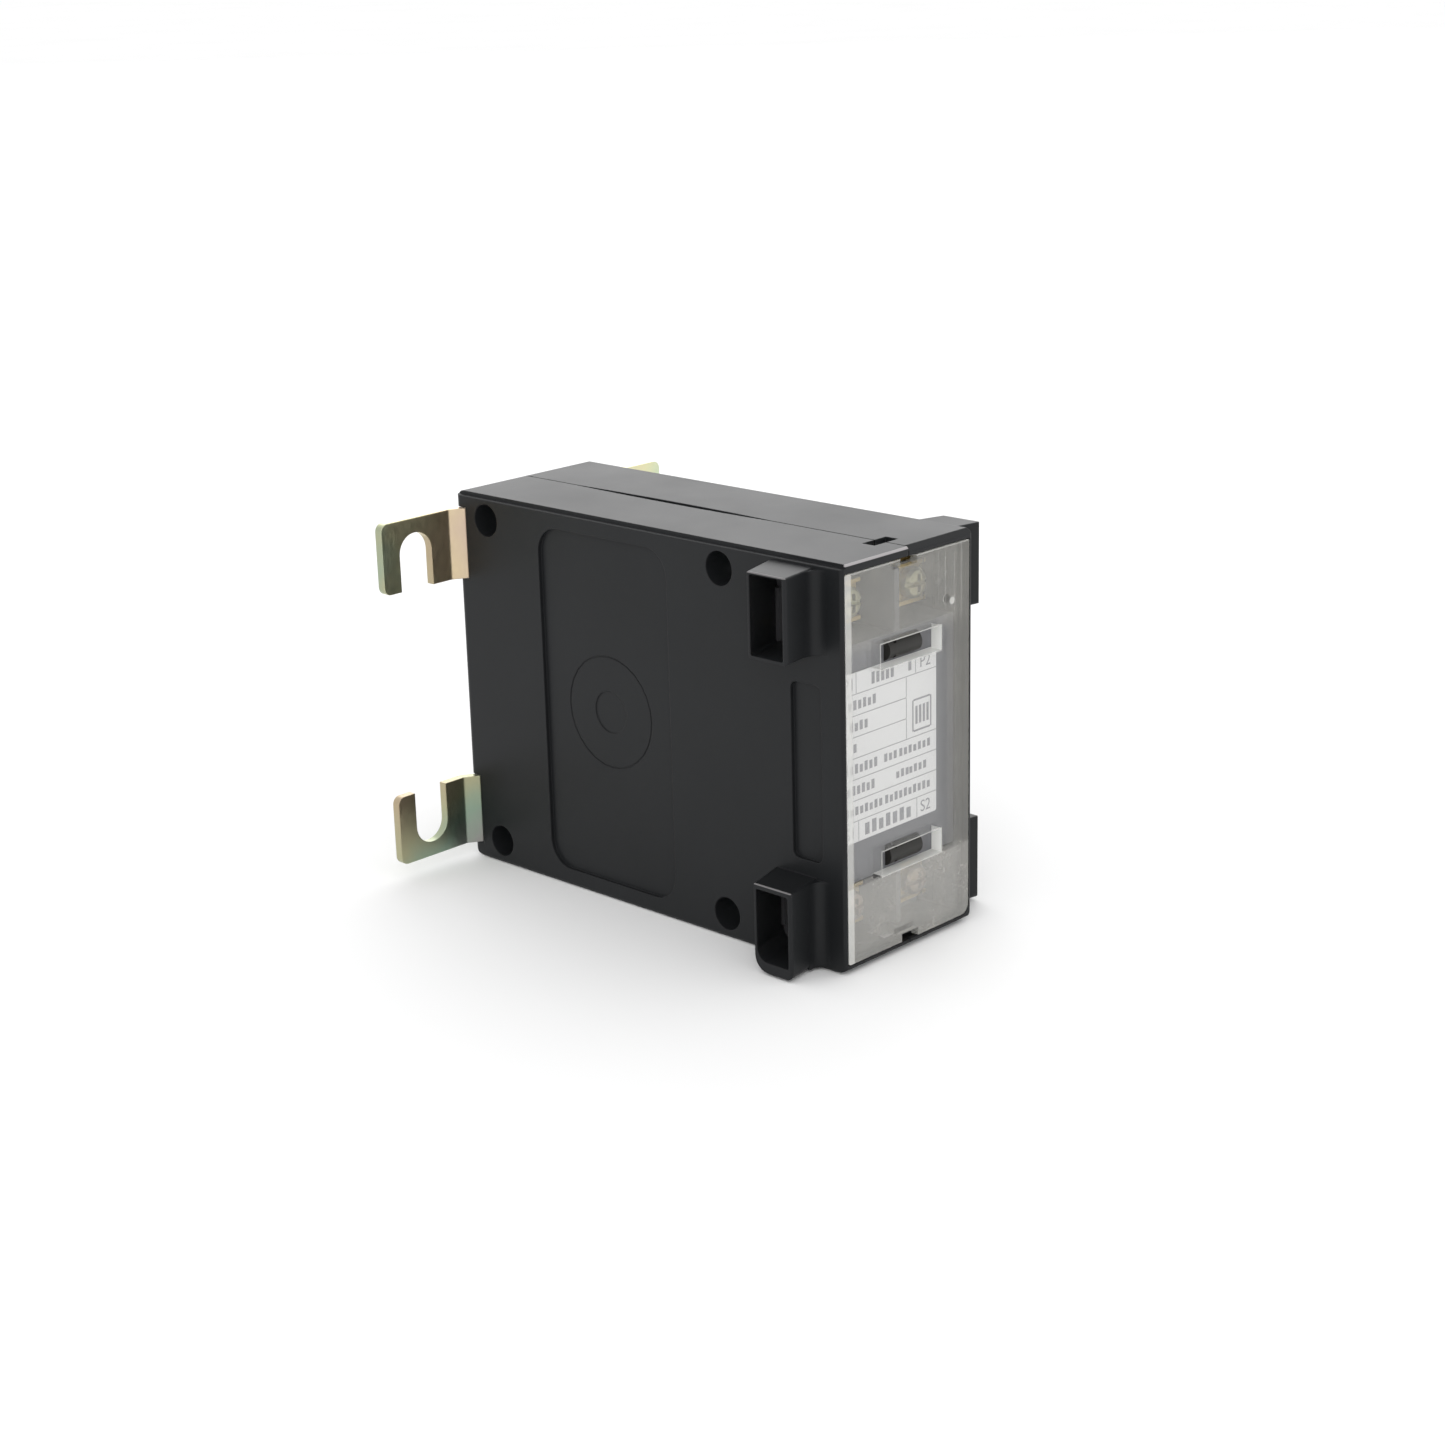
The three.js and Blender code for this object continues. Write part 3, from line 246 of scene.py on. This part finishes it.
def clear_cover():
    """Clear moulded plate: frosted over the terminals, clear over the label, with painted highlights along
    its cut edges.
    """
    s = Shader("clear_hazy_polycarbonate")
    x, y, z = (s.axis(letter) for letter in "XYZ")
    blotch = s.noise(130.0, 4.0, 0.6)
    grain = s.noise(1100.0, 3.0, 0.7)
    upper = s.span(z, 66.4 * MM, 69.4 * MM)
    lower = s.span(z, 18.6 * MM, 18.2 * MM)
    # Height above the middle of the nearer window, and the region of the windows and their collars.
    above_lower = s.math("SUBTRACT", z, MID_HEIGHT - WINDOW_OFFSET)
    above_upper = s.math("SUBTRACT", z, MID_HEIGHT + WINDOW_OFFSET)
    local = s.scalar_mix(s.beyond(z, MID_HEIGHT), above_lower, above_upper)
    in_width = s.within(s.offset(x, WINDOW_X), WINDOW_HALF_WIDTH + 0.4 * MM, 0.2 * MM)
    in_height = s.within(s.math("ABSOLUTE", local), WINDOW_HALF_HEIGHT + 0.3 * MM, 0.2 * MM)
    window = s.product(in_width, in_height, s.within(y, COLLAR_BACK + 0.1 * MM, 0.1 * MM))
    # Only the plate and the inside walls of the windows are hazy; the backs of the collars stay clear.
    facing = s.node("ShaderNodeSeparateXYZ", {0: s.normals}).outputs[1]
    wall = s.span(s.math("ABSOLUTE", facing), 0.8, 0.4)
    in_plate = s.within(y, FRONT + COVER_THICKNESS + 0.15 * MM, 0.1 * MM)
    shown = s.largest(in_plate, s.product(window, wall))
    # Painted highlights on the rims and walls, together with the moulding marks, whiten the plate.
    marks_and_highlights = cover_marks_and_highlights(s, upper, in_plate, window, wall, local)
    right_edge = s.span(x, 13.8 * MM, 15.2 * MM, 0.0, 0.19)
    clouded = s.math("ADD", s.span(blotch, 0.3, 0.7, 0.02, 0.035), right_edge)
    haze = s.scalar_mix(upper, clouded, s.span(blotch, 0.3, 0.7, 0.19, 0.28))
    haze = s.scalar_mix(lower, haze, s.span(blotch, 0.3, 0.7, 0.27, 0.36))
    haze = s.product(haze, s.span(grain, 0.3, 0.7, 0.82, 1.18))
    haze = s.product(s.scalar_mix(marks_and_highlights, haze, 0.9), shown)
    upper_frost = s.mix(blotch, (0.36, 0.36, 0.345), (0.46, 0.445, 0.395))
    lower_frost = s.mix(blotch, (0.52, 0.52, 0.5), (0.6, 0.58, 0.53))
    s.set(Base_Color=s.mix(marks_and_highlights, s.mix(lower, upper_frost, lower_frost), (0.9, 0.9, 0.87)), Roughness=0.3)
    # Where it isn't hazy it is clear, with a reflection that grows towards grazing angles.
    grazing = s.node("ShaderNodeLayerWeight", {"Blend": 0.5}).outputs["Facing"]
    schlick = s.math("ADD", s.product(s.math("POWER", grazing, 5.0), 0.9), 0.045)
    clear = s.node("ShaderNodeBsdfTransparent").outputs[0]
    gloss = s.node("ShaderNodeBsdfGlossy", {"Roughness": 0.12}).outputs[0]
    polished = s.node("ShaderNodeMixShader", {0: s.product(schlick, shown), 1: clear, 2: gloss}).outputs[0]
    body = s.node("ShaderNodeMixShader", {0: haze, 1: polished, 2: s.principled.outputs[0]}).outputs[0]
    output = next(n for n in s.tree.nodes if n.type == "OUTPUT_MATERIAL")
    s.feed(output.inputs["Surface"], body)
    return s.material


def chromated_zinc(name, across, up, start, face=1.0):
    """Zinc plating whose chromate film changes colour in bands across and up the piece.

    The bands begin at a start between 0 and 1; face is the painted brightness of what doesn't face
    sideways, and what faces sideways is painted darker as painted shade.
    """
    s = Shader(name)
    broad = s.noise(75.0, 3.0, 0.5)
    fine = s.noise(1500.0, 3.0, 0.6, stretch=(1, 1, 0.35))
    place = s.math("ADD", s.product(s.offset(s.axis("X"), 0.0), across), s.product(s.axis("Z"), up))
    film = s.math("ADD", s.product(broad, 0.45), place)
    tones = [
        (0.0, (0.54, 0.42, 0.33)),
        (0.2, (0.60, 0.49, 0.32)),
        (0.4, (0.56, 0.55, 0.35)),
        (0.6, (0.39, 0.52, 0.40)),
        (0.8, (0.48, 0.44, 0.44)),
        (1.0, (0.54, 0.42, 0.33)),
    ]
    tint = s.ramp(s.math("FRACT", s.math("ADD", film, start)), tones)
    # Painted shading: what faces sideways is painted darker, and what doesn't is scaled by face.
    sideways = s.math("ABSOLUTE", s.node("ShaderNodeSeparateXYZ", {0: s.normals}).outputs[0])
    painted_shading = s.span(sideways, 0.4, 0.8, face, 0.74)
    scaled = s.node("ShaderNodeVectorMath", {0: tint, "Scale": painted_shading}, operation="SCALE").outputs[0]
    s.set(Base_Color=scaled, Metallic=1.0)
    s.set(Roughness=s.span(fine, 0.3, 0.7, 0.3, 0.42))
    s.bump(fine, 0.1, 0.04 * MM, rounding=0.3 * MM)
    return s.material


def metal(name, dark, light, roughness, scale=400.0, stretch=None):
    """Bare or plated metal with fine uneven polish."""
    s = Shader(name)
    tone = s.noise(scale, 4.0, 0.6, stretch)
    s.set(Base_Color=s.mix(tone, dark, light), Metallic=0.95)
    s.set(Roughness=s.span(tone, 0.3, 0.7, roughness, roughness + 0.14))
    s.bump(tone, 0.1, 0.03 * MM)
    return s.material


def smooth_matt(name, dark, light, roughness, scale=300.0):
    """Film, ink or plain plastic."""
    s = Shader(name)
    tone = s.noise(scale, 4.0, 0.6)
    s.set(Base_Color=s.mix(tone, dark, light))
    s.set(Roughness=s.span(tone, 0.3, 0.7, roughness, roughness + 0.12))
    s.bump(tone, 0.15, 0.03 * MM)
    return s.material


# Both feet share one plating; their last arguments paint the upper foot brighter and the lower one darker,
# as painted light and shade.
FOOT_MATERIALS = {
    "upper": chromated_zinc("yellow_chromated_zinc_upper", 18.0, 0.0, 0.48, 1.28),
    "lower": chromated_zinc("yellow_chromated_zinc_lower", -15.0, -20.0, 1.915, 0.86),
}
MATERIALS = {
    "black_plastic": black_plastic(),
    "grey_plastic": grey_board(),
    "clear_polycarbonate": clear_cover(),
    "label_film": smooth_matt("label_film", (0.66, 0.66, 0.655), (0.72, 0.72, 0.71), 0.5, 900.0),
    "chromated_zinc_steel": chromated_zinc("yellow_chromated_zinc", 0.0, 6.0, 0.7),
    "zinc_steel": metal("bright_zinc", (0.4, 0.42, 0.44), (0.62, 0.64, 0.66), 0.28),
    "brass": metal("satin_brass", (0.5, 0.36, 0.12), (0.72, 0.55, 0.24), 0.25),
    "silicon_steel": metal(
        "varnished_laminations", (0.09, 0.1, 0.11), (0.2, 0.21, 0.22), 0.4, 900.0, (6, 1, 1)
    ),
    "nylon": smooth_matt("natural_nylon", (0.6, 0.56, 0.45), (0.7, 0.66, 0.55), 0.45),
    "enamelled_copper": metal("enamelled_copper", (0.38, 0.13, 0.05), (0.62, 0.26, 0.1), 0.22, 500.0),
    "polyester_tape": smooth_matt("yellow_polyester_tape", (0.5, 0.36, 0.05), (0.66, 0.5, 0.1), 0.3),
}

# ---- pieces carried over from the CAD model ----------------------------------------------------------

SLOT_OF = {row["node"]: row["material_slot"] for row in frame["record"]["subparts"]}
BODY_OF = {node: body for body, nodes in frame["record"]["behaviour"]["bodies"].items() for node in nodes}
EDGE = {  # width of the rounded edges in millimetres
    "terminal_cover": 0.16,
    "foot": 0.2,
    "core": 0.12,
    "case_screw": 0.15,
    "terminal_nut": 0.25,
    "terminal_plate": 0.12,
    "terminal_screw": 0.1,
    "clamp_washer": 0.12,
}
WELD = 1e-7
FLAT_ANGLE = math.radians(0.4)
SHARP_ANGLE = math.radians(31)
BEVELLED_SHARP_ANGLE = math.radians(50)


def new_piece(name, bm, material, sharp_angle=SHARP_ANGLE):
    """A new object from a bmesh, shaded smooth up to an angle."""
    mesh = bpy.data.meshes.new(name)
    bm.to_mesh(mesh)
    bm.free()
    if "custom_normal" in mesh.attributes:
        mesh.attributes.remove(mesh.attributes["custom_normal"])
    mesh.materials.append(material)
    mesh.shade_smooth()
    mesh.set_sharp_from_angle(angle=sharp_angle)
    piece = bpy.data.objects.new(name, mesh)
    bpy.context.scene.collection.objects.link(piece)
    return piece


def refine(node):
    """Stands for a CAD node with a welded copy whose flat faces are merged and edges rounded."""
    bm = bmesh.new()
    bm.from_mesh(frame["nodes"][node].data)
    bmesh.ops.remove_doubles(bm, verts=bm.verts, dist=WELD)
    bmesh.ops.dissolve_limit(bm, angle_limit=FLAT_ANGLE, verts=bm.verts, edges=bm.edges)
    width = next((w for key, w in EDGE.items() if node.startswith(key)), 0)
    if width:
        sharp = [e for e in bm.edges if e.is_manifold and e.calc_face_angle() > SHARP_ANGLE]
        bmesh.ops.bevel(
            bm, geom=sharp, offset=width * MM, segments=2, profile=0.5, affect="EDGES", clamp_overlap=True
        )
    material = MATERIALS[SLOT_OF[node]]
    if node.startswith("foot"):
        material = FOOT_MATERIALS[node.split("_")[1]]
    piece = new_piece(f"{node}_body", bm, material, BEVELLED_SHARP_ANGLE if width else SHARP_ANGLE)
    piece.modifiers.new("flat_faces", "WEIGHTED_NORMAL").keep_sharp = True
    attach(piece, BODY_OF[node])
    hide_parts(node)


for node in frame["nodes"]:
    refine(node)

# ---- printing on the label -----------------------------------------------------------------------------

ROWS = 8
ROW_HEIGHT = (LABEL_HIGH.z - LABEL_LOW.z) / ROWS
INK = 0.03 * MM
LINE = 0.16 * MM
LETTER_HEIGHT = 2.5 * MM
CAPITAL_SHARE = 0.7  # of a font's size
MERGED_CELL_X = 2.5  # left side of the cell that spans rows 1 to 3, in millimetres

# Row and place in millimetres.
DIVIDERS = (
    (0, -13.2), (0, 5.5),
    (1, MERGED_CELL_X), (2, MERGED_CELL_X), (3, MERGED_CELL_X),
    (7, -12.8), (7, 5.8),
)
MARKS = ((0, -15.4, "P1"), (0, 8.6, "P2"), (7, -15.4, "S1"), (7, 8.6, "S2"))

# Words are shown as rows of plain blocks: row, start, number of blocks and their height in millimetres.
WORDS = (
    (0, -8.4, 5, 2.5), (0, 3.2, 1, 2.3),
    (1, -15.6, 6, 2.0), (2, -15.2, 4, 2.0), (3, -14.2, 1, 2.0),
    (4, -16.8, 7, 2.0), (4, -4.6, 3, 1.7), (4, 0.2, 7, 1.7),
    (5, -16.2, 6, 2.0), (5, -0.8, 3, 1.7), (5, 3.4, 4, 1.7),
    (6, -16.8, 8, 1.8), (6, -4.4, 10, 1.8), (7, -10.8, 7, 2.8),
)
TALL_WORD = 2.6  # words of at least this height have wider blocks
BLOCK_HEIGHTS = (1.0, 0.82, 1.0, 0.9)


def ink_patch(bm, x0, x1, z0, z1):
    """A thin closed slab of ink on the label's face."""
    face = LABEL_LOW.y
    outline = ((x0, z0), (x1, z0), (x1, z1), (x0, z1))
    corners = [bm.verts.new((x, y, z)) for y in (face - INK, face) for x, z in outline]
    for loop in ((0, 1, 2, 3), (7, 6, 5, 4), (0, 4, 5, 1), (1, 5, 6, 2), (2, 6, 7, 3), (3, 7, 4, 0)):
        bm.faces.new([corners[i] for i in loop])


def lettering(bm, text, height, x, z):
    """Plain lettering centred on a point of the label."""
    curve = bpy.data.curves.new("letters", "FONT")
    curve.body = text
    curve.size = height / CAPITAL_SHARE
    curve.extrude = INK / 2
    curve.align_x = "CENTER"
    holder = bpy.data.objects.new("letters", curve)
    mesh = bpy.data.meshes.new_from_object(holder)
    upright = Matrix.Rotation(math.pi / 2, 4, "X")
    mesh.transform(Matrix.Translation((x, LABEL_LOW.y - INK / 2, z - height / 2)) @ upright)
    bm.from_mesh(mesh)
    bpy.data.meshes.remove(mesh)
    bpy.data.objects.remove(holder)
    bpy.data.curves.remove(curve)


def label_row(index):
    """(lowest, highest) z of a row of the label's table, the first row at the top."""
    return LABEL_HIGH.z - (index + 1) * ROW_HEIGHT, LABEL_HIGH.z - index * ROW_HEIGHT


def table_lines(bm):
    for row in range(1, ROWS):
        z = label_row(row)[1]
        end = MERGED_CELL_X * MM if row in (2, 3) else LABEL_HIGH.x
        ink_patch(bm, LABEL_LOW.x, end, z - LINE / 2, z + LINE / 2)
    for row, x in DIVIDERS:
        low, high = label_row(row)
        ink_patch(bm, x * MM - LINE / 2, x * MM + LINE / 2, low + LINE, high - LINE)


def word_blocks(bm):
    for row, start, count, height in WORDS:
        low = sum(label_row(row)) / 2 - height / 2 * MM
        pitch = 1.5 if height < TALL_WORD else 2.2
        for i in range(count):
            x = (start + i * pitch) * MM
            tall = height * BLOCK_HEIGHTS[(i * 3 + row) % 4] * MM
            ink_patch(bm, x, x + pitch * 0.62 * MM, low, low + tall)


def merged_cell_panel(bm):
    """A plain framed panel of four bars in the merged cell."""
    low, high = label_row(3)[0] + 1.2 * MM, label_row(1)[1] - 5.6 * MM
    for x in (4.4, 10.2):
        ink_patch(bm, x * MM, (x + 0.4) * MM, low, high)
    for z in (low, high):
        ink_patch(bm, 4.85 * MM, 10.15 * MM, z - 0.2 * MM, z + 0.2 * MM)
    for i in range(4):
        ink_patch(bm, (5.4 + i * 1.2) * MM, (6.1 + i * 1.2) * MM, low + 1.4 * MM, high - 1.4 * MM)


def label_print():
    bm = bmesh.new()
    table_lines(bm)
    for row, x, text in MARKS:
        lettering(bm, text, LETTER_HEIGHT, x * MM, sum(label_row(row)) / 2)
    word_blocks(bm)
    merged_cell_panel(bm)
    ink = smooth_matt("label_ink", (0.24, 0.24, 0.25), (0.31, 0.31, 0.32), 0.5, 700.0)
    piece = new_piece("label_print", bm, ink)
    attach(piece, "case")


label_print()

# ---- setting -----------------------------------------------------------------------------------------

scene = bpy.context.scene
scene.view_settings.view_transform = "Standard"


def floor():
    """A wide pale disc under the part."""
    bm = bmesh.new()
    bmesh.ops.create_circle(bm, cap_ends=True, radius=8, segments=96)
    s = Shader("pale_floor")
    s.set(Base_Color=s.mix(s.noise(6.0), (0.9, 0.9, 0.9), (0.94, 0.94, 0.94)), Roughness=0.85)
    piece = new_piece("floor", bm, s.material)


floor()

world = bpy.data.worlds.new("studio")
scene.world = world
world.use_nodes = True
world.node_tree.nodes["Background"].inputs["Color"].default_value = (1, 1, 1, 1)
world.node_tree.nodes["Background"].inputs["Strength"].default_value = 1.08


def area_light(name, place, target, size, power):
    """A square light aimed at a target, hidden from the camera."""
    data = bpy.data.lights.new(name, "AREA")
    data.size = size
    data.energy = power
    light = bpy.data.objects.new(name, data)
    light.location = place
    light.rotation_euler = (Vector(target) - Vector(place)).to_track_quat("-Z", "Y").to_euler()
    light.visible_camera = False
    scene.collection.objects.link(light)


area_light("back", (2.4, 2.3, 1.05), (0, 0, 0.06), 3.0, 34)
area_light("fill", (-1.3, -1.0, 0.9), (0, 0, 0.04), 0.9, 7)

CAMERA_PLACE = (-0.3916, -0.3801, 0.2089)
CAMERA_ANGLES = (-46.21, 17.39, -1.49)  # azimuth from the front, elevation and roll, in degrees


def camera():
    """Looks at the part from in front, to the left and above, with a slight roll."""
    azimuth, elevation, roll = (math.radians(angle) for angle in CAMERA_ANGLES)
    back = Vector((
        math.sin(azimuth) * math.cos(elevation),
        -math.cos(azimuth) * math.cos(elevation),
        math.sin(elevation),
    ))
    right = (-back).cross(Vector((0, 0, 1))).normalized()
    up = right.cross(-back)
    turned_right = right * math.cos(roll) + up * math.sin(roll)
    turned_up = up * math.cos(roll) - right * math.sin(roll)
    data = bpy.data.cameras.new("camera")
    data.lens = 64.9
    data.sensor_width = 36
    data.clip_start = 0.01
    view = bpy.data.objects.new("camera", data)
    axes = Matrix((turned_right, turned_up, back)).transposed().to_4x4()
    view.matrix_world = Matrix.Translation(CAMERA_PLACE) @ axes
    scene.collection.objects.link(view)
    scene.camera = view


camera()
